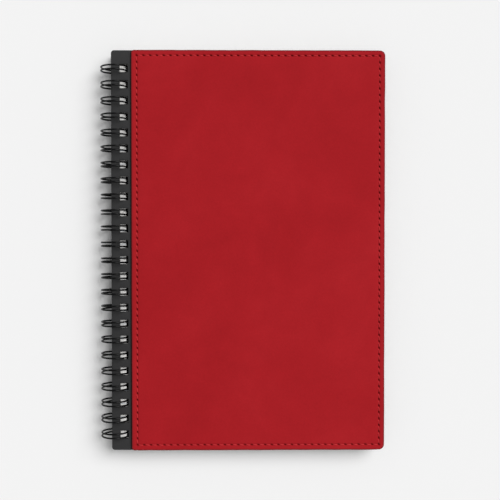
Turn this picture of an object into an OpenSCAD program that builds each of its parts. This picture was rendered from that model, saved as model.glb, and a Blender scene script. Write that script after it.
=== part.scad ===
// Wire-bound notebook with stitched leather cover panels.
// X runs from the binding to the fore edge, Y along the spine, Z up.
// The origin is at the middle of the footprint, on the surface the notebook lies on.

/* [Covers] */
// Width of each cover, spine edge to fore edge
cover_w = 145.3; // [120:0.1:200]
// Height of each cover, head to tail
cover_h = 212.5; // [160:0.5:270]
// Thickness of the grey board inside each cover
board_t = 1.2; // [0.8:0.1:2.5]
// Thickness of the bookbinding paper that wraps the board
wrap_t = 0.2; // [0.1:0.05:0.4]
// Width of the wrap that is turned over onto the inner face
turn_in = 12; // [10:0.5:20]
// Corner radius on the fore edge
fore_corner_r = 3; // [1:0.5:8]
// Corner radius on the spine edge
spine_corner_r = 1.6; // [0.5:0.1:4]

/* [Leather] */
// Thickness of the leather panels
leather_t = 1.6; // [1.2:0.1:2.5]
// Width of the bare strip between the spine edge and the leather
strip_w = 10.7; // [9.5:0.1:16]
// Distance of the stitch line from the leather's edges
stitch_inset = 3; // [1.8:0.1:6]
// Width of the groove that the stitches lie in
groove_w = 0.9; // [0.7:0.05:1.3]
// Depth of that groove
groove_d = 0.7; // [0.5:0.05:0.9]
// Diameter of the sewing thread
thread_d = 0.6; // [0.4:0.05:0.65]

/* [Binding] */
// Distance from one twin loop to the next
loop_pitch = 8.467; // [7:0.001:9.6]
// Diameter of the coated wire
wire_d = 0.9; // [0.7:0.05:1.3]
// Distance between the centre lines of the two wires of a loop
twin_gap = 2.1; // [1.8:0.1:2.4]
// Room inside the loops beyond the covers and sheets
ring_spare = 4; // [3.2:0.1:5]
// Least distance from the end loops to the head and tail of the covers
end_margin = 8; // [6:0.5:14]
// How far the row of loops sits below the middle, towards the tail
row_drop = 0.6; // [0:0.1:2]
// Angle round the loop at which the hairpin ends close
seam_angle = 256; // [250:1:260]
// Gap in the loop between the hairpins and the bridges
seam_gap = 12; // [11:1:14]

/* [Holes] */
// Distance from the cover's spine edge to its holes
hole_margin = 4.3; // [3.5:0.1:5]
// Width of the cover's holes, across the spine
hole_w = 4.6; // [3.9:0.1:6]
// Height of the holes, along the spine
hole_h = 4.3; // [3.9:0.1:5.5]
// Gap between the loops and the far edge of the front cover's holes
front_clear = 0.15; // [0.1:0.05:1]
// Distance from a sheet's spine edge to its holes
sheet_margin = 2.9; // [2.4:0.1:3]
// Width of the sheets' holes
sheet_hole_w = 4.4; // [3.8:0.1:6]

/* [Sheets] */
// How much narrower the sheets are than the covers
sheet_short = 6.6; // [5:0.1:14]
// How far the covers stand past the sheets at the head and at the tail
head_square = 1.25; // [1:0.25:5]
// Thickness of each section of sheets
section_t = 0.6; // [0.3:0.05:0.8]
// Corner radius of the sheets
sheet_corner_r = 2; // [0.5:0.5:6]

/* [Hidden] */
$fn = 64;

section_n = 10;
cut = 1;              // how far a cutting tool runs past a face
corner_steps = 8;     // straight pieces in a quarter round of an outline
ball_over = 0.04;     // how much a wire's corner ball stands over the wire
web_clear = 0.1;      // gap between the back cover's web and the loops
sheet_clear = 0.4;    // gap between a sheet's hole edge and the loops
thread_sink = 0.1;    // how far the thread lies below the leather's face

sheet_w = cover_w - sheet_short;
sheet_h = cover_h - 2 * head_square;

// Thicknesses of the stacked pieces
cover_t = board_t + 2 * wrap_t;
pages_t = section_n * section_t;
block_t = pages_t + 2 * cover_t;

// The loops go round the two bare strips and the sheets
ring_in_r = (block_t + ring_spare) / 2;
ring_r = ring_in_r + wire_d / 2;
ring_out_r = ring_in_r + wire_d;
loop_n = floor((cover_h - 2 * (end_margin + row_drop)) / loop_pitch) + 1;

// The back cover's web, from its spine edge to its holes, is a chord of the loops' inside
web_drop = sqrt(pow(ring_in_r - web_clear, 2) - pow(hole_margin / 2, 2));

// Heights above the table
floor_gap = max(0, ring_out_r - web_drop - leather_t);
ring_z = floor_gap + leather_t + web_drop;
back_z = floor_gap + leather_t + cover_t;
front_z = back_z + pages_t;

// Places of the spine edges, from the loops' centre. The front cover slides in until the far
// edge of its holes nears the loops, which reach furthest at the cover's inner face
front_reach = sqrt(pow(ring_out_r, 2) - pow(front_z - ring_z, 2));
back_x = -hole_margin / 2;
front_x = front_reach + front_clear - hole_margin - hole_w;
mid_x = (front_x + cover_w - ring_out_r) / 2;

cover_red = [0.65, 0.13, 0.15];
thread_red = [0.45, 0.06, 0.08];
charcoal = [0.2, 0.2, 0.21];
paper_white = [0.93, 0.92, 0.89];
board_grey = [0.55, 0.53, 0.5];

function loop_y(k) = (k - (loop_n - 1) / 2) * loop_pitch - row_drop;

// A quarter round about centre c, from angle a
function quarter(c, r, a) = [
    for (i = [0:corner_steps])
        c + r * [cos(a + 90 * i / corner_steps), sin(a + 90 * i / corner_steps)]
];

// A rectangle from x0 to x1, h high about y = 0, round at the spine (rs) and fore edge (rf)
function outline(x0, x1, h, rs, rf) = concat(
    quarter([x1 - rf, h / 2 - rf], rf, 0),
    quarter([x0 + rs, h / 2 - rs], rs, 90),
    quarter([x0 + rs, rs - h / 2], rs, 180),
    quarter([x1 - rf, rf - h / 2], rf, 270)
);

module plate(x0, x1, h, rs, rf, z, t) {
    translate([0, 0, z])
        linear_extrude(t)
            polygon(outline(x0, x1, h, rs, rf));
}

// The row of square holes, as a cutting tool
module hole_row(x, w, z, t) {
    for (k = [0:loop_n - 1])
        translate([x, loop_y(k) - hole_h / 2, z])
            cube([w, hole_h, t]);
}

module cover_holes() {
    hole_row(hole_margin, hole_w, -cut, cover_t + 2 * cut);
}

// ---- one cover, lying with its inner face at z = 0 and its spine edge at x = 0

module board_shape() {
    difference() {
        plate(wrap_t, cover_w - wrap_t, cover_h - 2 * wrap_t,
            spine_corner_r - wrap_t, fore_corner_r - wrap_t, wrap_t, board_t);
        cover_holes();
    }
}

module lining_shape() {
    plate(turn_in, cover_w - turn_in, cover_h - 2 * turn_in,
        spine_corner_r, fore_corner_r, 0, wrap_t);
}

module wrap_shape() {
    difference() {
        plate(0, cover_w, cover_h, spine_corner_r, fore_corner_r, 0, cover_t);
        plate(wrap_t, cover_w - wrap_t, cover_h - 2 * wrap_t,
            spine_corner_r - wrap_t, fore_corner_r - wrap_t, wrap_t, board_t);
        plate(turn_in, cover_w - turn_in, cover_h - 2 * turn_in,
            spine_corner_r, fore_corner_r, -cut, cut + wrap_t + board_t / 2);
        cover_holes();
    }
}

// A flat loop that follows the stitch line, w wide and t thick
module stitch_line(w, z, t) {
    inset = stitch_inset - w / 2;
    difference() {
        plate(strip_w + inset, cover_w - inset, cover_h - 2 * inset,
            spine_corner_r, fore_corner_r, z, t);
        plate(strip_w + inset + w, cover_w - inset - w, cover_h - 2 * (inset + w),
            spine_corner_r, fore_corner_r, z - cut, t + 2 * cut);
    }
}

module leather_shape() {
    difference() {
        plate(strip_w, cover_w, cover_h, spine_corner_r, fore_corner_r, cover_t, leather_t);
        stitch_line(groove_w, cover_t + leather_t - groove_d, groove_d + cut);
    }
}

module thread_shape() {
    stitch_line(thread_d, cover_t + leather_t - groove_d, groove_d - thread_sink);
}

// ---- places of the moving and the fixed cover

module at_front() {
    translate([front_x - mid_x, 0, front_z])
        children();
}

module at_back() {
    translate([back_x - mid_x, 0, back_z])
        mirror([0, 0, 1])
            children();
}

module front_board() {
    color(board_grey) at_front() board_shape();
}

module front_wrap() {
    color(charcoal) at_front() wrap_shape();
}

module front_lining() {
    color(charcoal) at_front() lining_shape();
}

module front_leather() {
    color(cover_red) at_front() leather_shape();
}

module front_thread() {
    color(thread_red) at_front() thread_shape();
}

module back_board() {
    color(board_grey) at_back() board_shape();
}

module back_wrap() {
    color(charcoal) at_back() wrap_shape();
}

module back_lining() {
    color(charcoal) at_back() lining_shape();
}

module back_leather() {
    color(cover_red) at_back() leather_shape();
}

module back_thread() {
    color(thread_red) at_back() thread_shape();
}

// ---- the binding: one wire, bent into twin loops with hairpin ends and joined by bridges

module ring_arc(y) {
    translate([0, y, 0])
        rotate([90, 0, 0])
            rotate_extrude(angle = 360 - seam_gap, start = seam_angle + seam_gap - 360)
                translate([ring_r, 0])
                    circle(d = wire_d);
}

// A straight run along the spine, with round corners, at one angle round the loop
module cross_wire(a, y, length) {
    translate([ring_r * cos(a), y, ring_r * sin(a)]) {
        rotate([-90, 0, 0])
            cylinder(d = wire_d, h = length);
        for (end = [0, length])
            translate([0, end, 0])
                sphere(d = wire_d + 2 * ball_over);
    }
}

module binding_wire() {
    color("black")
        translate([-mid_x, 0, ring_z]) {
            for (k = [0:loop_n - 1]) {
                ring_arc(loop_y(k) - twin_gap / 2);
                ring_arc(loop_y(k) + twin_gap / 2);
                cross_wire(seam_angle, loop_y(k) - twin_gap / 2, twin_gap);
            }
            for (k = [0:loop_n - 2])
                cross_wire(seam_angle + seam_gap, loop_y(k) + twin_gap / 2,
                    loop_pitch - twin_gap);
        }
}

// ---- the sheets: each section slides in until its holes meet the loops

function section_low(k) = back_z + k * section_t - ring_z;
function section_reach(k) = max(abs(section_low(k)), abs(section_low(k) + section_t));
function section_hole_x(k) = sqrt(pow(ring_in_r, 2) - pow(section_reach(k), 2)) - sheet_clear;

module page_section(k) {
    x0 = section_hole_x(k) - sheet_margin;
    color(paper_white)
        translate([-mid_x, 0, back_z + k * section_t])
            difference() {
                plate(x0, x0 + sheet_w, sheet_h, sheet_corner_r / 2, sheet_corner_r,
                    0, section_t);
                hole_row(section_hole_x(k), sheet_hole_w, -cut, section_t + 2 * cut);
            }
}

binding_wire();
front_board();
front_wrap();
front_lining();
front_leather();
front_thread();
back_board();
back_wrap();
back_lining();
back_leather();
back_thread();
page_section(0);  // page_section_01
page_section(1);  // page_section_02
page_section(2);  // page_section_03
page_section(3);  // page_section_04
page_section(4);  // page_section_05
page_section(5);  // page_section_06
page_section(6);  // page_section_07
page_section(7);  // page_section_08
page_section(8);  // page_section_09
page_section(9);  // page_section_10
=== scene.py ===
import math
import bpy
import numpy as np
from mathutils import Matrix, Vector


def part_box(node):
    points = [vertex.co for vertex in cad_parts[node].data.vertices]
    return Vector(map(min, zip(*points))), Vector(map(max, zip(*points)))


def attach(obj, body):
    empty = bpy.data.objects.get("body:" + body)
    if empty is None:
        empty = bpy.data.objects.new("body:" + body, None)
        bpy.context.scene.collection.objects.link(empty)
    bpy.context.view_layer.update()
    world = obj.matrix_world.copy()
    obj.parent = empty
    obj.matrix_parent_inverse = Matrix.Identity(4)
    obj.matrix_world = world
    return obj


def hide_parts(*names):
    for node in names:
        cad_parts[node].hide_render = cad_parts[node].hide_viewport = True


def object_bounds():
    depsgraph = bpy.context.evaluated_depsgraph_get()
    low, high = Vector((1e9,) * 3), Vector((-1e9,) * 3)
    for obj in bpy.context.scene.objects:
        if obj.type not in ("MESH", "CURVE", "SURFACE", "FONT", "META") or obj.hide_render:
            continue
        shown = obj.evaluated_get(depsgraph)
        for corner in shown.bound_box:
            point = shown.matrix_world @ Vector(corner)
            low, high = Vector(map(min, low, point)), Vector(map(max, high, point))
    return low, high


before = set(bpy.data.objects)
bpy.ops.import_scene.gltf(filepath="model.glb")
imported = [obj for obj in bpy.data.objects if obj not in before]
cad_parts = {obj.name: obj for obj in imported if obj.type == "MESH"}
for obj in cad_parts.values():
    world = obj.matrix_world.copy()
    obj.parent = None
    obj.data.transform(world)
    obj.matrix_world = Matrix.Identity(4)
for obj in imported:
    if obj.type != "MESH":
        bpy.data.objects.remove(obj)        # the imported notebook: bodies, nodes, joints and record
cadLow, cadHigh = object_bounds()

mm = 0.001


def boxOf(node):
    low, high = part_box(node)
    return np.array(low) / mm, np.array(high) / mm      # in mm from here on


wrapLow, wrapHigh = boxOf("front_wrap")
leatherLow, leatherHigh = boxOf("front_leather")
backWrapLow, backWrapHigh = boxOf("back_wrap")
wireLow, wireHigh = boxOf("binding_wire")

coverW = wrapHigh[0] - wrapLow[0]
coverH = wrapHigh[1] - wrapLow[1]
coverT = wrapHigh[2] - wrapLow[2]
leatherT = leatherHigh[2] - leatherLow[2]
stripW = leatherLow[0] - wrapLow[0]
turnIn = boxOf("front_lining")[0][0] - wrapLow[0]

ringOutR = (wireHigh[2] - wireLow[2]) / 2
ringX = wireLow[0] + ringOutR
ringZ = wireLow[2] + ringOutR

binding = {
    "wireD": 0.9,          # coated wire
    "pitch": 8.467,        # three loops to the inch
    "loops": 24,
    "rootGap": 2.45,       # between the two wires of a loop, where they leave the bridge
    "tipGap": 1.55,        # and at the hairpin end
    "bridgeAngle": 268,    # degrees round the loop, from the fore edge side upwards
    "hairpinAngle": 256,
    "bend": 0.9,           # radius of the bends into the bridges
    "sides": 12,
    "arcSteps": 64,
    "rowDrop": 0.6,        # the row sits this far below the middle
    "lean": 0.07,          # how far a loop leans along the spine, at random
    "turnOff": 1.2,        # degrees that a loop is turned off the row, at most
    "bendSteps": 7,
}

punch = {
    "margin": 4.3,         # spine edge to holes
    "width": 4.6,
    "height": 4.3,
    "sheetMargin": 2.9,
    "sheetWidth": 4.4,
}

loopY = (np.arange(binding["loops"]) - (binding["loops"] - 1) / 2) * binding["pitch"] - binding["rowDrop"]


def makePiece(name, points, faces, material, body, smooth=True, uv=None, marks=None):
    # points in mm; faces is a list of index arrays, each all quads or all triangles; marks are numbers kept
    # with the points for the material to read
    mesh = bpy.data.meshes.new(name)
    mesh.from_pydata((points * mm).tolist(), [], [f for block in faces for f in block.tolist()])
    mesh.polygons.foreach_set("use_smooth", np.full(len(mesh.polygons), smooth))
    if uv is not None:
        corner = np.empty(len(mesh.loops), np.int32)
        mesh.loops.foreach_get("vertex_index", corner)
        layer = mesh.uv_layers.new(name="along")
        layer.data.foreach_set("uv", uv[corner].ravel())
    for mark, values in (marks or {}).items():
        mesh.attributes.new(mark, "FLOAT", "POINT").data.foreach_set("value", values.astype(np.float32))
    mesh.materials.append(material)
    mesh.update()
    piece = bpy.data.objects.new(name, mesh)
    bpy.context.scene.collection.objects.link(piece)
    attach(piece, body)
    return piece


def sharpEdges(piece, degrees):
    # smooth shading, but creases stay crisp above this angle
    piece.data.set_sharp_from_angle(angle=math.radians(degrees))


def gridFaces(columns, rows, closed=False):
    # quads of a grid whose point (i, j) has index j * columns + i; closed joins the last column to the first
    i = np.arange(columns if closed else columns - 1)
    j = np.arange(rows - 1)
    a = (j[:, None] * columns + i[None, :]).ravel()
    b = (j[:, None] * columns + ((i + 1) % columns)[None, :]).ravel()
    return np.stack([a, b, b + columns, a + columns], axis=1)


def softNoise(x, y, seed, waves=14, longest=60.0, shortest=15.0):
    # a sum of sine waves of random direction, length and phase, mostly between -2 and 2
    rng = np.random.default_rng(seed)
    total = np.zeros(np.broadcast(x, y).shape)
    for size, angle, phase in zip(rng.uniform(shortest, longest, waves),
                                  rng.uniform(0, 2 * np.pi, waves), rng.uniform(0, 2 * np.pi, waves)):
        total = total + np.sin(2 * np.pi * (x * np.cos(angle) + y * np.sin(angle)) / size + phase)
    return total / math.sqrt(waves)


def newMaterial(name, roughness, specular, sheen=0.0, sheenTint=(1, 1, 1)):
    material = bpy.data.materials.new(name)
    material.use_nodes = True
    nodes, links = material.node_tree.nodes, material.node_tree.links
    shader = nodes["Principled BSDF"]
    shader.inputs["Roughness"].default_value = roughness
    shader.inputs["Specular IOR Level"].default_value = specular
    shader.inputs["Sheen Weight"].default_value = sheen
    shader.inputs["Sheen Tint"].default_value = (*sheenTint, 1)
    coords = nodes.new("ShaderNodeTexCoord")
    return material, nodes, links, shader, coords.outputs["Object"]


def addNoise(nodes, links, vector, scale, detail=4.0, rough=0.55, distortion=0.0):
    noise = nodes.new("ShaderNodeTexNoise")
    noise.inputs["Scale"].default_value = scale
    noise.inputs["Detail"].default_value = detail
    noise.inputs["Roughness"].default_value = rough
    noise.inputs["Distortion"].default_value = distortion
    links.new(vector, noise.inputs["Vector"])
    return noise.outputs["Fac"]


def addRamp(nodes, links, value, stops):
    ramp = nodes.new("ShaderNodeValToRGB")
    elements = ramp.color_ramp.elements
    while len(elements) < len(stops):
        elements.new(0.5)
    for element, (place, colour) in zip(elements, stops):
        element.position = place
        element.color = (*colour, 1) if hasattr(colour, "__len__") else (colour, colour, colour, 1)
    links.new(value, ramp.inputs["Fac"])
    return ramp.outputs["Color"]


def addMix(nodes, links, kind, amount, first, second):
    # blends two colours; amount is a number or a socket
    mix = nodes.new("ShaderNodeMix")
    mix.data_type, mix.blend_type = "RGBA", kind
    for socket, value in ((mix.inputs[0], amount), (mix.inputs[6], first), (mix.inputs[7], second)):
        if isinstance(value, bpy.types.NodeSocket):
            links.new(value, socket)
        elif hasattr(value, "__len__"):
            socket.default_value = (*value, 1)
        else:
            socket.default_value = value
    return mix.outputs[2]


def addMath(nodes, links, kind, *values):
    node = nodes.new("ShaderNodeMath")
    node.operation = kind
    for socket, value in zip(node.inputs, values):
        if isinstance(value, bpy.types.NodeSocket):
            links.new(value, socket)
        else:
            socket.default_value = value
    return node.outputs[0]


def addAttribute(nodes, name):
    node = nodes.new("ShaderNodeAttribute")
    node.attribute_name = name
    return node.outputs["Fac"]


def addBump(nodes, links, shader, height, strength, distance):
    bump = nodes.new("ShaderNodeBump")
    bump.inputs["Strength"].default_value = strength
    bump.inputs["Distance"].default_value = distance
    links.new(height, bump.inputs["Height"])
    links.new(bump.outputs["Normal"], shader.inputs["Normal"])


leatherLook = {
    "deep": (0.312, 0.0080, 0.0118),     # the darker clouds
    "middle": (0.334, 0.0092, 0.0135),
    "bright": (0.358, 0.0112, 0.0158),   # the rubbed, lighter clouds
    "pitShade": (0.130, 0.0010, 0.0016),      # painted shade inside the needle holes
    "rimDyeAndShade": (0.115, 0.0130, 0.0155),      # the cut edge, dyed and burnished, and darkened further with painted shade of its rounding
    "cloudScale": 24,                    # per metre, so about 40 mm across
    "patchScale": 85,
    "napScale": 900,
    "poreScale": 1500,
    "roughness": 0.82,
}


def leatherMaterial(name="redNubuck", look=leatherLook):
    material, nodes, links, shader, place = newMaterial(
        name, look["roughness"], specular=0.08, sheen=0.06, sheenTint=(0.9, 0.35, 0.33))
    clouds = addNoise(nodes, links, place, look["cloudScale"], 5, 0.6, 0.35)
    patches = addNoise(nodes, links, place, look["patchScale"], 4, 0.6, 0.2)
    nap = addNoise(nodes, links, place, look["napScale"], 3, 0.7)
    base = addRamp(nodes, links, clouds,
                   [(0.30, look["deep"]), (0.52, look["middle"]), (0.74, look["bright"])])
    patchTone = addRamp(nodes, links, patches, [(0.3, 0.97), (0.7, 1.025)])
    napTone = addRamp(nodes, links, nap, [(0.3, 0.95), (0.7, 1.04)])
    base = addMix(nodes, links, "MULTIPLY", 1.0, base, patchTone)
    base = addMix(nodes, links, "MULTIPLY", 1.0, base, napTone)
    # the cut edge and a thin band of the face take a darker colour: its dye, with painted shade of the
    # rounding turning from the light
    base = addMix(nodes, links, "MIX", addAttribute(nodes, "rimDyeAndShade"), base, look["rimDyeAndShade"])
    # the needle holes are darkened with painted shade
    base = addMix(nodes, links, "MIX", addAttribute(nodes, "pitShade"), base, look["pitShade"])
    links.new(base, shader.inputs["Base Color"])
    pores = nodes.new("ShaderNodeTexVoronoi")
    pores.inputs["Scale"].default_value = look["poreScale"]
    links.new(place, pores.inputs["Vector"])
    grain = addMath(nodes, links, "MINIMUM", pores.outputs["Distance"], 0.45)
    grain = addMath(nodes, links, "MULTIPLY", grain, 0.6)
    height = addMath(nodes, links, "ADD", grain, nap)
    addBump(nodes, links, shader, height, 0.35, 0.00012)
    return material


threadLook = {"colour": (0.38, 0.016, 0.020), "light": (0.56, 0.042, 0.048), "twists": 4.0, "roughness": 0.7}


def threadMaterial(name="redThread", look=threadLook):
    # the plies show as slanting bands that run round the stitch, worked from its own UV
    material, nodes, links, shader = newMaterial(name, look["roughness"], specular=0.05)[:4]
    along = nodes.new("ShaderNodeUVMap")
    along.uv_map = "along"
    parts = nodes.new("ShaderNodeSeparateXYZ")
    links.new(along.outputs["UV"], parts.inputs[0])
    turn = addMath(nodes, links, "ADD", addMath(nodes, links, "MULTIPLY", parts.outputs[0], look["twists"]),
                   addMath(nodes, links, "MULTIPLY", parts.outputs[1], 2.0))
    plies = addMath(nodes, links, "ABSOLUTE", addMath(nodes, links, "SINE", addMath(
        nodes, links, "MULTIPLY", turn, math.pi)))
    links.new(addRamp(nodes, links, plies, [(0.0, look["colour"]), (0.8, look["light"])]),
              shader.inputs["Base Color"])
    addBump(nodes, links, shader, plies, 0.6, 0.00008)
    return material


paperCoverLook = {"dark": (0.0175, 0.0175, 0.0183), "light": (0.0260, 0.0260, 0.0264),
                  # the crease colour is a painted shadow of the leather's edge, dark maroon with painted red
                  # light bounced off the leather
                  "leatherEdgeShadow": (0.0060, 0.0012, 0.0015), "grainScale": 1100, "roughness": 0.62}


def coverPaperMaterial(name="charcoalPaper", look=paperCoverLook):
    # fine pressed leather grain: small rounded cells with softer noise over them
    material, nodes, links, shader, place = newMaterial(name, look["roughness"], specular=0.28)
    cells = nodes.new("ShaderNodeTexVoronoi")
    cells.feature = "SMOOTH_F1"
    cells.inputs["Scale"].default_value = look["grainScale"]
    links.new(place, cells.inputs["Vector"])
    fibre = addNoise(nodes, links, place, 420, 5, 0.65)
    share = addMath(nodes, links, "MULTIPLY", fibre, 0.9)
    tone = addMix(nodes, links, "MIX", share, look["dark"], look["light"])
    # a painted shadow of the leather's edge darkens the paper beside it, with a painted red bounce
    tone = addMix(nodes, links, "MIX", addAttribute(nodes, "leatherEdgeShadow"), tone, look["leatherEdgeShadow"])
    links.new(tone, shader.inputs["Base Color"])
    height = addMath(nodes, links, "ADD", addMath(nodes, links, "MULTIPLY", cells.outputs["Distance"], -0.8),
                     addMath(nodes, links, "MULTIPLY", fibre, 0.5))
    addBump(nodes, links, shader, height, 0.5, 0.00010)
    return material


def liningMaterial(name="charcoalLining"):
    material, nodes, links, shader, place = newMaterial(name, 0.75, specular=0.25)
    fibre = addNoise(nodes, links, place, 700, 6, 0.7)
    links.new(addRamp(nodes, links, fibre, [(0.3, (0.026, 0.026, 0.028)), (0.7, (0.040, 0.040, 0.042))]),
              shader.inputs["Base Color"])
    addBump(nodes, links, shader, fibre, 0.3, 0.00008)
    return material


def boardMaterial(name="greyBoard"):
    material, nodes, links, shader, place = newMaterial(name, 0.85, specular=0.2)
    pulp = addNoise(nodes, links, place, 1400, 6, 0.75)
    links.new(addRamp(nodes, links, pulp, [(0.3, (0.075, 0.072, 0.068)), (0.7, (0.14, 0.135, 0.125))]),
              shader.inputs["Base Color"])
    addBump(nodes, links, shader, pulp, 0.5, 0.00012)
    return material


def wireMaterial(name="blackCoatedWire"):
    material, nodes, links, shader, place = newMaterial(name, 0.24, specular=0.14)
    wear = addNoise(nodes, links, place, 260, 4, 0.6)
    links.new(addRamp(nodes, links, wear, [(0.3, (0.0016, 0.0016, 0.0018)), (0.7, (0.0032, 0.0032, 0.0034))]),
              shader.inputs["Base Color"])
    links.new(addMath(nodes, links, "ADD", addMath(nodes, links, "MULTIPLY", wear, 0.14), 0.13),
              shader.inputs["Roughness"])
    addBump(nodes, links, shader, addNoise(nodes, links, place, 1600, 2, 0.5), 0.08, 0.00005)
    return material


sheetLook = {"paper": (0.90, 0.89, 0.87), "line": (0.52, 0.56, 0.60), "lineGap": 0.0071, "lineWidth": 0.00022,
             "firstLine": 0.084, "edge": 0.099}


def sheetMaterial(name="writingPaper", look=sheetLook):
    # pale ruled lines at an even distance along the spine, none in the head and foot margins; sizes in metres
    material, nodes, links, shader, place = newMaterial(name, 0.8, specular=0.2)
    parts = nodes.new("ShaderNodeSeparateXYZ")
    links.new(place, parts.inputs[0])
    steps = addMath(nodes, links, "DIVIDE", parts.outputs[1], look["lineGap"])
    near = addMath(nodes, links, "ABSOLUTE", addMath(nodes, links, "SUBTRACT", addMath(
        nodes, links, "FRACT", addMath(nodes, links, "ADD", steps, 100.0)), 0.5))
    ruled = addMath(nodes, links, "LESS_THAN", near, look["lineWidth"] / look["lineGap"])
    body = addMath(nodes, links, "LESS_THAN", parts.outputs[1], look["firstLine"])
    foot = addMath(nodes, links, "GREATER_THAN", parts.outputs[1], -look["edge"])
    ruled = addMath(nodes, links, "MULTIPLY", ruled, addMath(nodes, links, "MULTIPLY", body, foot))
    fibre = addNoise(nodes, links, place, 500, 5, 0.65)
    paper = addMix(nodes, links, "MULTIPLY", 1.0, look["paper"], addRamp(
        nodes, links, fibre, [(0.3, 0.965), (0.7, 1.0)]))
    links.new(addMix(nodes, links, "MIX", ruled, paper, look["line"]), shader.inputs["Base Color"])
    addBump(nodes, links, shader, fibre, 0.15, 0.00005)
    return material


print("materials")
redLeather = leatherMaterial()
redThread = threadMaterial()
charcoalPaper = coverPaperMaterial()
charcoalLining = liningMaterial()
greyBoard = boardMaterial()
blackWire = wireMaterial()
writingPaper = sheetMaterial()


panel = {
    "stitchesLong": 60,      # stitches along the spine side and the fore edge
    "stitchesShort": 36,     # and along the head and the tail
    "columnsPerStitch": 12,
    "stitchInset": 3.0,
    "spineCorner": 1.6,
    "foreCorner": 3.0,
    "edgeRound": 0.45,       # rounding of the cut edge
    "edgePress": 0.12,       # how far the edge is pressed down
    "seamDepth": 0.22,       # the channel that the stitches pull into the leather
    "seamWidth": 0.60,
    "pillow": 0.10,          # the softer dip either side of it
    "pillowWidth": 2.4,
    "pitDepth": 0.70,        # needle holes
    "pitWidth": 0.30,
    "pitLength": 0.66,
    "pitSlant": 22,          # degrees that the needle holes lean against the line of the seam
    "swell": 0.07,           # long, slow unevenness of the surface
    "lowered": 0.10,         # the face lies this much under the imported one, to stay inside it
    "edgeFall": 0.6,         # how far in the pressed edge reaches
    "rimDepth": 0.12,        # the edge's dye, with painted shade, is full from this far down
    "rimReach": 0.62,        # and fades out over this much of the face
    "waver": 0.04,           # unevenness of the cut edge
    "drawnIn": 0.07,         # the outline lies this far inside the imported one
    "middleInset": 9.4,      # where the coarse middle begins
}

panelHalf = np.array([(leatherHigh[0] - leatherLow[0]) / 2, (leatherHigh[1] - leatherLow[1]) / 2])
panelMiddle = stripW + panelHalf[0]      # from the cover's spine edge


def seamPlaces(p=panel):
    # needle holes: where they are on the seam's rectangle, and which way the seam runs there
    a, b = panelHalf - p["stitchInset"]
    across = np.linspace(-a, a, p["stitchesShort"] + 1)[:-1]
    along = np.linspace(-b, b, p["stitchesLong"] + 1)[:-1]
    sides = [(across, np.full_like(across, -b), (1, 0)), (np.full_like(along, a), along, (0, 1)),
             (-across, np.full_like(across, b), (-1, 0)), (np.full_like(along, -a), -along, (0, -1))]
    places = np.concatenate([np.stack([x, y], axis=1) for x, y, way in sides])
    ways = np.concatenate([np.tile(np.array(way, float), (len(x), 1)) for x, y, way in sides])
    return places, ways


def perimeter(p=panel):
    # even steps once round a square from -1 to 1, with the same count to each stitch
    n, m = p["stitchesShort"] * p["columnsPerStitch"], p["stitchesLong"] * p["columnsPerStitch"]
    s, t = np.linspace(-1, 1, n + 1)[:-1], np.linspace(-1, 1, m + 1)[:-1]
    return np.concatenate([np.stack([s, -np.ones(n)], axis=1), np.stack([np.ones(m), t], axis=1),
                           np.stack([-s, np.ones(n)], axis=1), np.stack([-np.ones(m), -t], axis=1)])


def roundCorners(x, y, halfX, halfY, spineR, foreR):
    # a point within r of a corner, measured along the side, moves onto the quarter round of radius r;
    # half of each side's stretch takes 45 degrees of it
    r = np.where(x < 0, spineR, foreR)
    toX, toY = halfX - np.abs(x), halfY - np.abs(y)
    share = np.clip((toX + toY) / np.maximum(r, 1e-9), 0, 1)
    onFlank = toX <= toY
    angle = np.where(onFlank, 45 * (1 - share), 45 + 45 * share)
    angle = np.radians(np.where(share >= 1, np.where(onFlank, 0, 90), angle))
    newX = np.sign(x) * (halfX - r + r * np.cos(angle))
    newY = np.sign(y) * (halfY - r + r * np.sin(angle))
    inside = (share < 1) & (r > 1e-6)
    return np.where(inside, newX, x), np.where(inside, newY, y)


def needlePits(x, y, p=panel):
    # a bell-shaped pit, longer than wide, at every needle hole: one at its middle, fading to nothing.
    # All lean the same way, from upper left to lower right
    a, b = panelHalf - p["stitchInset"]
    stepX, stepY = 2 * a / p["stitchesShort"], 2 * b / p["stitchesLong"]
    offX, offY = np.abs(x) - a, np.abs(y) - b
    flank = np.abs(offX) < np.abs(offY)      # the seam runs along y there, along x at head and tail
    dx = np.where(flank, offX * np.sign(x), (x + a) - np.round((x + a) / stepX) * stepX)
    dy = np.where(flank, (y + b) - np.round((y + b) / stepY) * stepY, offY * np.sign(y))
    sine, cosine = math.sin(math.radians(p["pitSlant"])), math.cos(math.radians(p["pitSlant"]))
    u = np.where(flank, dx * sine - dy * cosine, dx * cosine - dy * sine)
    v = np.where(flank, dx * cosine + dy * sine, dx * sine + dy * cosine)
    return np.exp(-(np.abs(u) / p["pitLength"]) ** 3 - (np.abs(v) / p["pitWidth"]) ** 2.4)


def leatherTop(x, y, inset, seed, p=panel):
    # height over the flat face: edge, seam channel and soft dips by distance from the edge,
    # the needle holes' pits, and a slow swell over the whole panel
    rise = -p["edgePress"] * np.exp(-inset / p["edgeFall"])
    fromSeam = inset - p["stitchInset"]
    rise = rise - p["seamDepth"] * np.exp(-(fromSeam / p["seamWidth"]) ** 2)
    rise = rise - p["pillow"] * np.exp(-(fromSeam / p["pillowWidth"]) ** 2)
    rise = rise - p["pitDepth"] * needlePits(x, y, p)
    swell = softNoise(x, y, seed, 12, 90, 32) * np.clip(inset / 6, 0, 1)
    return rise + p["swell"] * swell - p["lowered"]


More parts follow.
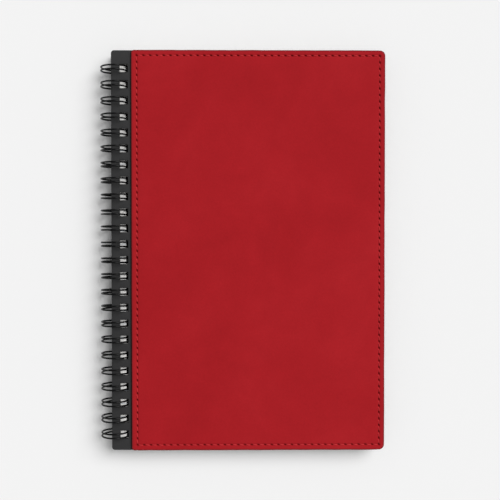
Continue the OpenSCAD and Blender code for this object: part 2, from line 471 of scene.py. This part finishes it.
def leatherPanel(name, body, place, seed, p=panel):
    columns = perimeter(p)
    count = len(columns)
    top = coverT + leatherT
    # rings from the glued face up the cut edge and over the rounding: inset and height
    quarter = np.radians(np.array([8, 24, 42, 60, 76, 88]))
    edgeInset = np.concatenate([[0.35, 0.06, 0.0, 0.0, 0.0], p["edgeRound"] * (1 - np.cos(quarter))])
    edgeDrop = np.concatenate([[leatherT, leatherT, leatherT - 0.2, leatherT * 0.62, p["edgeRound"] + 0.12],
                               p["edgeRound"] * (1 - np.sin(quarter))])
    nearSeam = np.array([0.1, 0.2, 0.3, 0.42, 0.56, 0.74, 0.98])
    faceInset = np.concatenate([[0.6, 0.85, 1.2, 1.6], p["stitchInset"] - nearSeam[::-1], [p["stitchInset"]],
                                p["stitchInset"] + nearSeam, [4.4, 5.0, 5.8, 6.8, 8.0]])
    insets = np.concatenate([edgeInset, faceInset])
    drops = np.concatenate([edgeDrop, np.zeros(len(faceInset))])
    half = panelHalf[None, :] - insets[:, None]
    x = columns[None, :, 0] * half[:, 0:1]
    y = columns[None, :, 1] * half[:, 1:2]
    spineR = np.maximum(p["spineCorner"] - insets, 0)[:, None]
    foreR = np.maximum(p["foreCorner"] - insets, 0)[:, None]
    x, y = roundCorners(x, y, half[:, 0:1], half[:, 1:2], spineR + 0 * x, foreR + 0 * x)
    blend = np.clip(1 - drops / leatherT, 0, 1)[:, None]      # the glued face stays flat
    z = top - drops[:, None] + leatherTop(x, y, insets[:, None] + 0 * x, seed, p) * blend
    # how much painted shade each point of the face takes in a needle hole
    pitShade = needlePits(x, y, p) * (blend > 0.99)
    # the cut edge's dye and painted shade run a little way onto the face
    faceDyeAndShade = 0.85 * np.exp(-(insets / p["rimReach"]) ** 2)
    rimDyeAndShade = np.maximum(np.clip(drops / p["rimDepth"], 0, 1), faceDyeAndShade)[:, None] + 0 * x
    # the cut edge isn't quite straight
    waver = p["waver"] * softNoise(x + y, x - y, seed + 5, 10, 40, 9) - p["drawnIn"]
    outward = np.exp(-insets[:, None] / 0.8)
    x, y = x + waver * outward * columns[None, :, 0], y + waver * outward * columns[None, :, 1]
    rings = np.stack([x, y, z], axis=2).reshape(-1, 3)
    faces = [gridFaces(count, len(insets), closed=True)]

    # the wide middle is a grid with one cell to a stitch
    nx, ny, per = p["stitchesShort"], p["stitchesLong"], p["columnsPerStitch"]
    gx, gy = np.meshgrid(np.linspace(-1, 1, nx + 1), np.linspace(-1, 1, ny + 1))
    midHalf = panelHalf - p["middleInset"]
    mx, my = gx * midHalf[0], gy * midHalf[1]
    depth = np.minimum(panelHalf[0] - np.abs(mx), panelHalf[1] - np.abs(my))
    mz = top + leatherTop(mx, my, depth, seed, p)
    middle = np.stack([mx, my, mz], axis=2).reshape(-1, 3)
    index = np.arange((nx + 1) * (ny + 1)).reshape(ny + 1, nx + 1)
    rimLine = np.concatenate([index[0, :-1], index[:-1, -1], index[-1, :0:-1], index[:0:-1, 0]])

    def joinRim(ring, rimAt, flip):
        # triangles between a fine ring and the coarse rim: half of each stretch goes to each rim point
        cell = np.arange(len(rimAt))
        step = np.arange(per)
        a = ring + (cell[:, None] * per + step[None, :])
        b = ring + (cell[:, None] * per + step[None, :] + 1) % count
        here, there = rimAt[cell], rimAt[(cell + 1) % len(rimAt)]
        apex = np.where(step[None, :] < per // 2, here[:, None], there[:, None])
        fans = np.stack([a, b, apex], axis=2).reshape(-1, 3)
        wedge = np.stack([ring + cell * per + per // 2, there, here], axis=1)
        both = np.concatenate([fans, wedge])
        return both[:, ::-1] if flip else both

    topStart = len(rings)
    faces.append(joinRim((len(insets) - 1) * count, topStart + rimLine, False))
    faces.append(gridFaces(nx + 1, ny + 1) + topStart)
    # the glued face is the same grid, flat
    under = middle.copy()
    under[:, 2] = coverT
    underStart = topStart + len(middle)
    faces.append(joinRim(0, underStart + rimLine, True))
    faces.append(gridFaces(nx + 1, ny + 1)[:, ::-1] + underStart)
    points = np.concatenate([rings, middle, under])
    points[:, 0] += panelMiddle
    none = np.zeros(2 * len(middle))
    # marks for the painted shade of the needle holes, and for the cut edge's dye with painted shade
    marks = {"pitShade": np.concatenate([pitShade.ravel(), none]), "rimDyeAndShade": np.concatenate([rimDyeAndShade.ravel(), none])}
    points, faces = place(points, faces)
    return makePiece(name, points, faces, redLeather, body, marks=marks)


def placeFront(points, faces):
    # cover sizes count from its spine edge and inner face, outwards
    return points + np.array([wrapLow[0], 0, wrapLow[2]]), faces


def placeBack(points, faces):
    # the back cover is the front one turned over, so its faces are turned round too
    turned = points * np.array([1, 1, -1]) + np.array([backWrapLow[0], 0, backWrapHigh[2]])
    return turned, [f[:, ::-1] for f in faces]


print("leather panels")
frontLeather = leatherPanel("frontLeather", "front_cover", placeFront, 3)
backLeather = leatherPanel("backLeather", "root", placeBack, 11)


stitch = {
    "thick": 0.46,       # thread diameter
    "sides": 7,
    "steps": 11,
    "reach": 0.30,       # share of the stitch's length lost in the needle hole at each end
    "dip": 0.60,         # how far the ends dive into the needle holes
    "ride": 0.04,        # how far the thread's middle stands over the channel's floor
    "slant": 0.24,       # each stitch leans across the line by this much at its ends
}


def stitches(name, body, place, seed, s=stitch, p=panel):
    # a stitch is a tube whose middle line runs between two needle holes, up and over by a flattened
    # half sine wave, and leans across the seam; its ends narrow where they dive into the leather
    rng = np.random.default_rng(seed)
    holes, ways = seamPlaces(p)
    ends = np.roll(holes, -1, axis=0)
    n, k, m = len(holes), s["steps"], s["sides"]
    t = np.linspace(s["reach"] / 2, 1 - s["reach"] / 2, k)
    side = np.stack([ways[:, 1], -ways[:, 0]], axis=1)
    # all lean from upper left to lower right, so the two flanks lean against the way the seam runs
    lean = s["slant"] * np.where(ways[:, 0] != 0, 1, -1) * (1 + 0.25 * rng.normal(size=n))
    offset = (t[None, :] - 0.5) * 2 * lean[:, None] + 0.03 * rng.normal(size=(n, 1))
    flat = holes[:, None, :] * (1 - t[None, :, None]) + ends[:, None, :] * t[None, :, None]
    flat = flat + side[:, None, :] * offset[:, :, None]
    arch = np.sin(np.pi * np.linspace(0, 1, k)) ** 0.55
    radius = s["thick"] / 2 * (0.70 + 0.30 * arch)
    floorZ = coverT + leatherT - p["seamDepth"] - p["pillow"] - p["lowered"]
    height = (floorZ + s["ride"] + s["thick"] * 0.28 - s["dip"] * (1 - arch[None, :])
              + 0.02 * rng.normal(size=(n, 1)))
    around = 2 * np.pi * np.arange(m) / m
    reach = radius[None, :, None] * np.cos(around)[None, None, :]
    rise = radius[None, :, None] * np.sin(around)[None, None, :]
    points = np.empty((n, k, m, 3))
    points[..., 0] = flat[:, :, None, 0] + side[:, None, None, 0] * reach
    points[..., 1] = flat[:, :, None, 1] + side[:, None, None, 1] * reach
    points[..., 2] = height[:, :, None] + rise
    uv = np.empty((n, k, m, 2))
    uv[..., 0], uv[..., 1] = t[None, :, None], (np.arange(m) / m)[None, None, :]
    one = gridFaces(m, k, closed=True)
    faces = (one[None, :, :] + (np.arange(n) * k * m)[:, None, None]).reshape(-1, 4)
    # ends are closed with a fan of triangles
    fan = np.stack([np.zeros(m - 2, int), np.arange(2, m), np.arange(1, m - 1)], axis=1)
    far = fan[:, ::-1] + (k - 1) * m
    closing = (np.concatenate([fan, far])[None, :, :] + (np.arange(n) * k * m)[:, None, None]).reshape(-1, 3)
    points = points.reshape(-1, 3)
    points[:, 0] += panelMiddle
    points, blocks = place(points, [faces[:, ::-1], closing[:, ::-1]])
    return makePiece(name, points, blocks, redThread, body, uv=uv.reshape(-1, 2))


print("stitches")
frontStitches = stitches("frontStitches", "front_cover", placeFront, 21)
backStitches = stitches("backStitches", "root", placeBack, 22)


coverShape = {
    "spineCorner": 1.6,
    "foreCorner": 3.0,
    "edgeRound": 0.34,     # the paper turns softly round the board's edge
    "holeRound": 0.16,     # the punch draws the paper down at the rim of a hole
    "holeGrow": -0.03,     # the paper is drawn down the holes, over the board's core
    "creaseDeep": 0.15,    # the line pressed into the paper beside the leather
    "creaseWide": 0.36,
    "turnInGap": 0.10,     # a fine gap between the turned-in paper and the lining
    "recess": 0.12,
}


def stepsNear(edge, sign, size):
    # a few lines close to an edge, for its rounding
    return [edge + sign * size * f for f in (0.0, 0.12, 0.36, 0.68, 1.0)]


def plateLines(length, corners, edges, size, holeSize, extra=()):
    # grid lines across a plate from 0 to length: its own edges, its corners and the holes' edges
    lines = [*stepsNear(0, 1, size), *stepsNear(length, -1, size), *extra]
    for corner, sign, start in corners:
        lines += [start + sign * corner * f for f in (0.3, 0.45, 0.6, 0.75, 0.88, 1.0)]
    for edge, sign in edges:
        lines += stepsNear(edge, sign, holeSize)
    lines = np.unique(np.round(lines, 5))
    return lines[np.concatenate([[True], np.diff(lines) > 1e-4])]


def roundBlock(x, y, width, height, spineR, foreR):
    # each corner block of side r is squeezed from a square into a quarter disc: the larger of the two
    # shares is the radius, the ratio of the two is the angle
    r = np.where(x < width / 2, spineR, foreR)
    cx = np.where(x < width / 2, r, width - r)
    cy = np.where(y < height / 2, r, height - r)
    sx, sy = np.where(x < width / 2, -1, 1), np.where(y < height / 2, -1, 1)
    u, v = np.clip((x - cx) * sx / r, 0, 1), np.clip((y - cy) * sy / r, 0, 1)
    far, near = np.maximum(u, v), np.minimum(u, v)
    bend = np.pi / 4 * near / np.maximum(far, 1e-9)
    angle = np.where(u >= v, bend, np.pi / 2 - bend)
    inside = (u > 0) & (v > 0)
    return (np.where(inside, cx + sx * r * far * np.cos(angle), x),
            np.where(inside, cy + sy * r * far * np.sin(angle), y))


def roundDrop(distance, size):
    # a quarter circle of radius size: full drop at the edge, none further in than size
    d = np.clip(distance, 0, size)
    return size - np.sqrt(np.maximum(size ** 2 - (size - d) ** 2, 0))


def punchedPlate(lineX, lineY, holeX, holeY, topZ, lowZ, roundFrom=None):
    # a plate on grid lines with the cells inside the holes left out; topZ and lowZ are functions of the grid,
    # and walls close the outline and every hole
    nx, ny = len(lineX), len(lineY)
    gx, gy = np.meshgrid(lineX, lineY)
    top, low = topZ(gx, gy), lowZ(gx, gy)
    px, py = roundFrom(gx, gy) if roundFrom else (gx, gy)
    points = np.concatenate([np.stack([px, py, top], axis=2).reshape(-1, 3),
                             np.stack([px, py, low], axis=2).reshape(-1, 3)])
    midX, midY = (lineX[:-1] + lineX[1:]) / 2, (lineY[:-1] + lineY[1:]) / 2
    inX = ((midX[:, None] > holeX[None, :, 0]) & (midX[:, None] < holeX[None, :, 1])).any(axis=1)
    inY = ((midY[:, None] > holeY[None, :, 0]) & (midY[:, None] < holeY[None, :, 1])).any(axis=1)
    solid = ~(inY[:, None] & inX[None, :])
    j, i = np.nonzero(solid)
    a = j * nx + i
    faces = [np.stack([a, a + 1, a + nx + 1, a + nx], axis=1)]
    faces.append(faces[0][:, ::-1] + nx * ny)
    # a wall stands wherever a solid cell has no solid neighbour
    padded = np.pad(solid, 1)
    for dj, di, first, second in ((0, -1, (1, 0), (0, 0)), (0, 1, (0, 1), (1, 1)),
                                  (-1, 0, (0, 0), (0, 1)), (1, 0, (1, 1), (1, 0))):
        bare = solid & ~padded[1 + dj:1 + dj + solid.shape[0], 1 + di:1 + di + solid.shape[1]]
        jj, ii = np.nonzero(bare)
        start = (jj + first[0]) * nx + ii + first[1]
        stop = (jj + second[0]) * nx + ii + second[1]
        faces.append(np.stack([start, stop, stop + nx * ny, start + nx * ny], axis=1)[:, ::-1])
    used = np.unique(np.concatenate([f.ravel() for f in faces]))
    renumber = np.zeros(len(points), int)
    renumber[used] = np.arange(len(used))
    return points[used], [renumber[f] for f in faces]


def holeDistance(x, y, holeX, holeY):
    # distance from a point outside the holes to the nearest hole, measured square
    far = np.full(x.shape, 1e3)
    for xLow, xHigh in holeX:
        dx = np.maximum(np.maximum(xLow - x, x - xHigh), 0)
        aside = np.maximum(holeY[:, 0, None, None] - y, y - holeY[:, 1, None, None])
        dy = np.min(np.maximum(aside, 0), axis=0)
        far = np.minimum(far, np.hypot(dx, dy))
    return far


def coverWrap(name, body, place, c=coverShape):
    grow = c["holeGrow"]
    holeX = np.array([[punch["margin"] - grow, punch["margin"] + punch["width"] + grow]])
    holeHalf = punch["height"] / 2 + grow
    middles = loopY + coverH / 2
    holeY = np.stack([middles - holeHalf, middles + holeHalf], axis=1)
    edgesX = [(holeX[0, 0], -1), (holeX[0, 1], 1)]
    edgesY = [(y, s) for pair in holeY for y, s in zip(pair, (-1, 1))]
    inner, outer = turnIn - c["turnInGap"], coverW - turnIn + c["turnInGap"]
    creaseAt = stripW - 0.8 * c["creaseWide"]
    extraX = [inner - 0.02, inner + 0.02, outer - 0.02, outer + 0.02,
              *(creaseAt + c["creaseWide"] * np.array([-2, -1.4, -1, -0.6, -0.3, 0, 0.3, 0.6, 1, 1.4, 2]))]
    extraY = [inner - 0.02, inner + 0.02, coverH - inner - 0.02, coverH - inner + 0.02]
    spineR, foreR = c["spineCorner"], c["foreCorner"]
    lineX = plateLines(coverW, [(spineR, 1, 0), (foreR, -1, coverW)],
                       edgesX, c["edgeRound"], c["holeRound"], extraX)
    lineY = plateLines(coverH, [(spineR, 1, 0), (spineR, -1, coverH), (foreR, 1, 0), (foreR, -1, coverH)],
                       edgesY, c["edgeRound"], c["holeRound"], extraY)

    def creaseShare(x):
        return np.exp(-(np.abs(x - creaseAt) / c["creaseWide"]) ** 3)

    def edgeDistance(x, y):
        return np.minimum(np.minimum(x, coverW - x), np.minimum(y, coverH - y))

    def topZ(x, y):
        drop = roundDrop(edgeDistance(x, y), c["edgeRound"])
        drop = np.maximum(drop, roundDrop(holeDistance(x, y, holeX, holeY), c["holeRound"]))
        # the paper is creased down beside the leather's edge
        groove = c["creaseDeep"] * creaseShare(x)
        return coverT - drop - groove

    def lowZ(x, y):
        drop = roundDrop(edgeDistance(x, y), c["edgeRound"])
        drop = np.maximum(drop, roundDrop(holeDistance(x, y, holeX, holeY), c["holeRound"]))
        window = (x > inner) & (x < outer) & (y > inner) & (y < coverH - inner)
        return np.where(window, c["recess"], drop)

    points, faces = punchedPlate(lineX, lineY, holeX, holeY, topZ, lowZ,
                                 lambda x, y: roundBlock(x, y, coverW, coverH, spineR, foreR))
    # where the painted shadow of the leather's edge falls on the paper's face
    leatherEdgeShadow = creaseShare(points[:, 0]) * (points[:, 2] > coverT / 2)
    points[:, 1] -= coverH / 2
    points, faces = place(points, faces)
    piece = makePiece(name, points, faces, charcoalPaper, body, marks={"leatherEdgeShadow": leatherEdgeShadow})
    sharpEdges(piece, 50)
    return piece


print("covers")
frontCover = coverWrap("frontCover", "front_cover", placeFront)
backCover = coverWrap("backCover", "root", placeBack)


leaf = {
    "perSection": 6,
    "thick": 0.088,
    "corner": 2.0,
    "spineCorner": 1.0,
    "slip": 0.10,          # leaves don't lie exactly one on another
    "ripple": 0.004,
}


def pageSection(number, shape=leaf):
    node = f"page_section_{number:02d}"
    low, high = boxOf(node)
    width, height, thick = high - low
    rng = np.random.default_rng(100 + number)
    holeX = np.array([[punch["sheetMargin"], punch["sheetMargin"] + punch["sheetWidth"]]])
    middles = loopY + height / 2
    holeY = np.stack([middles - punch["height"] / 2, middles + punch["height"] / 2], axis=1)
    cornersX = [shape["spineCorner"] * f for f in (0.35, 0.7, 1)]
    cornersX += [width - shape["corner"] * f for f in (0.25, 0.5, 0.75, 1)]
    cornersY = [side + sign * r * f for side, sign in ((0, 1), (height, -1))
                for r in (shape["spineCorner"], shape["corner"]) for f in (0.25, 0.5, 0.75, 1)]
    lineX = np.unique(np.round([0, width, *holeX[0], *cornersX, *np.linspace(20, width - 12, 6)], 5))
    lineY = np.unique(np.round([0, height, *holeY.ravel(), *cornersY], 5))
    gap = thick / shape["perSection"]
    allPoints, allFaces, start = [], [], 0
    for k in range(shape["perSection"]):
        slipX, slipY = rng.uniform(-shape["slip"], 0), rng.uniform(-shape["slip"], shape["slip"])
        phase = rng.uniform(0, 6)
        base = low[2] + k * gap + (gap - shape["thick"]) / 2

        def ripple(x, y):
            return shape["ripple"] * np.sin(x / 31 + y / 47 + phase)

        def topZ(x, y):
            return base + shape["thick"] + ripple(x, y)

        def lowZ(x, y):
            return base + ripple(x, y)

        def rounded(x, y):
            return roundBlock(x, y, width, height, shape["spineCorner"], shape["corner"])

        points, faces = punchedPlate(lineX, lineY, holeX, holeY, topZ, lowZ, rounded)
        points[:, 0] += low[0] + slipX * 0.5
        points[:, 1] += low[1] + slipY
        allPoints.append(points)
        allFaces += [f + start for f in faces]
        start += len(points)
    piece = makePiece(f"leaves{number:02d}", np.concatenate(allPoints), allFaces, writingPaper, node,
                      smooth=False)
    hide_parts(node)


print("sheets")
for number in range(1, 11):
    pageSection(number)


def combPath(b=binding):
    # the wire drawn flat: distance along the loop against distance along the spine. Each prong goes out
    # from the bridge round a bend, narrows to its hairpin, turns a half circle and comes back
    radius = ringOutR - b["wireD"] / 2
    reach = radius * math.radians(360 - (b["bridgeAngle"] - b["hairpinAngle"]))
    root, tip, bend = b["rootGap"] / 2, b["tipGap"] / 2, b["bend"]
    turn = np.radians(np.linspace(0, 90, b["bendSteps"]))
    outS = bend * (1 - np.cos(turn))
    outY = -root - bend * (1 - np.sin(turn))
    t = np.linspace(0, 1, b["arcSteps"])[1:]
    lineS = bend + (reach - tip - bend) * t
    lineY = -root + (root - tip) * t ** 1.5
    half = np.radians(np.linspace(-90, 90, 11))[1:-1]
    hairS, hairY = reach - tip + tip * np.cos(half), tip * np.sin(half)
    s = np.concatenate([outS, lineS, hairS, lineS[::-1], outS[::-1]])
    y = np.concatenate([outY, lineY, hairY, -lineY[::-1], -outY[::-1]])
    return s, y, radius


def bindingWire(b=binding):
    # the flat comb is rolled round the loops' axis, and a circle is swept along it; the radius direction
    # is known everywhere, so the tube never twists
    s, y, radius = combPath(b)
    rng = np.random.default_rng(5)
    lean = b["lean"] * rng.normal(size=b["loops"]).clip(-1.4, 1.4)
    turnOff = np.radians(b["turnOff"]) * rng.uniform(-1, 1, b["loops"])
    angle = math.radians(b["bridgeAngle"] - 360) + s[None, :] / radius
    free = np.sin(np.pi * np.clip(s / s.max(), 0, 1))[None, :]
    angle = angle + turnOff[:, None] * free
    along = loopY[:, None] + y[None, :] + lean[:, None] * free * np.sin(angle)
    line = np.stack([ringX + radius * np.cos(angle), along, ringZ + radius * np.sin(angle)], axis=2)
    line = line.reshape(-1, 3)
    outward = np.stack([np.cos(angle), 0 * angle, np.sin(angle)], axis=2).reshape(-1, 3)
    # the first and the last bend have nothing to join, so the wire ends straight there
    cut = b["bendSteps"] - 1
    line, outward = line[cut:-cut], outward[cut:-cut]
    tangent = np.gradient(line, axis=0)
    tangent /= np.linalg.norm(tangent, axis=1, keepdims=True)
    outward -= (outward * tangent).sum(axis=1, keepdims=True) * tangent
    outward /= np.linalg.norm(outward, axis=1, keepdims=True)
    side = np.cross(tangent, outward)
    around = 2 * np.pi * np.arange(b["sides"]) / b["sides"]
    ring = (np.cos(around)[None, :, None] * outward[:, None, :]
            + np.sin(around)[None, :, None] * side[:, None, :])
    points = (line[:, None, :] + b["wireD"] / 2 * ring).reshape(-1, 3)
    rows, m = len(line), b["sides"]
    faces = [gridFaces(m, rows, closed=True)]
    fan = np.stack([np.zeros(m - 2, int), np.arange(2, m), np.arange(1, m - 1)], axis=1)
    faces.append(fan)
    faces.append(fan[:, ::-1] + (rows - 1) * m)
    piece = makePiece("bindingWire", points, faces, blackWire, "root")
    sharpEdges(piece, 60)
    return piece


print("binding wire")
wirePiece = bindingWire()


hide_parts("front_leather")
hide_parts("back_leather")
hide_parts("front_thread")
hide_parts("back_thread")
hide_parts("front_wrap")
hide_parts("back_wrap")
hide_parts("binding_wire")

for node, material in (("front_board", greyBoard), ("back_board", greyBoard),
                       ("front_lining", charcoalLining), ("back_lining", charcoalLining)):
    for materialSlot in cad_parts[node].material_slots:
        materialSlot.material = material


stageLook = {
    "floor": (0.80, 0.80, 0.80),
    "worldStrength": 0.46,
    "sunStrength": 2.76,
    "sunAngle": 40,          # degrees across, like a large softbox
    "sunFrom": (0.68, 0.52, 1.0),
    "cameraHeight": 0.4145,  # over the front cover
    "lens": 56.3,            # mm, for a sensor 36 mm wide
    "look": (0.0115, -0.018, -1.0),   # almost straight down
    "aimX": 0.0040,
    "aimY": 0.00054,
}


def lookAlong(direction):
    # a turn whose -Z points along direction, with +Y up the view
    forward = Vector(direction).normalized()
    right = forward.cross(Vector((0, 1, 0))).normalized()
    upwards = right.cross(forward)
    return Matrix((right, upwards, -forward)).transposed().to_quaternion()


def buildStage(look=stageLook):
    size = 4.0
    mesh = bpy.data.meshes.new("floor")
    corners = [(-size, -size), (size, -size), (size, size), (-size, size)]
    mesh.from_pydata([(x, y, float(cadLow[2])) for x, y in corners], [], [(0, 1, 2, 3)])
    floor = bpy.data.objects.new("floor", mesh)
    bpy.context.scene.collection.objects.link(floor)
    material = bpy.data.materials.new("paleFloor")
    material.use_nodes = True
    shader = material.node_tree.nodes["Principled BSDF"]
    shader.inputs["Base Color"].default_value = (*look["floor"], 1)
    shader.inputs["Roughness"].default_value = 0.95
    shader.inputs["Specular IOR Level"].default_value = 0.0
    mesh.materials.append(material)

    world = bpy.data.worlds.new("studio")
    bpy.context.scene.world = world
    world.use_nodes = True
    background = world.node_tree.nodes["Background"]
    background.inputs["Color"].default_value = (1, 1, 1, 1)
    background.inputs["Strength"].default_value = look["worldStrength"]

    data = bpy.data.lights.new("softbox", "SUN")
    data.energy = look["sunStrength"]
    data.angle = math.radians(look["sunAngle"])
    sun = bpy.data.objects.new("softbox", data)
    bpy.context.scene.collection.objects.link(sun)
    sun.rotation_mode = "QUATERNION"
    sun.rotation_quaternion = lookAlong([-v for v in look["sunFrom"]])


def buildCamera(look=stageLook):
    data = bpy.data.cameras.new("camera")
    data.sensor_width = 36
    data.lens = look["lens"]
    data.clip_start, data.clip_end = 0.01, 10
    camera = bpy.data.objects.new("camera", data)
    bpy.context.scene.collection.objects.link(camera)
    target = Vector((look["aimX"], look["aimY"], leatherHigh[2] * mm))
    camera.location = target - Vector(look["look"]).normalized() * look["cameraHeight"]
    camera.rotation_mode = "QUATERNION"
    camera.rotation_quaternion = lookAlong(look["look"])
    bpy.context.scene.camera = camera


print("stage")
buildStage()
buildCamera()
bpy.context.scene.view_settings.view_transform = "Standard"

print("done")
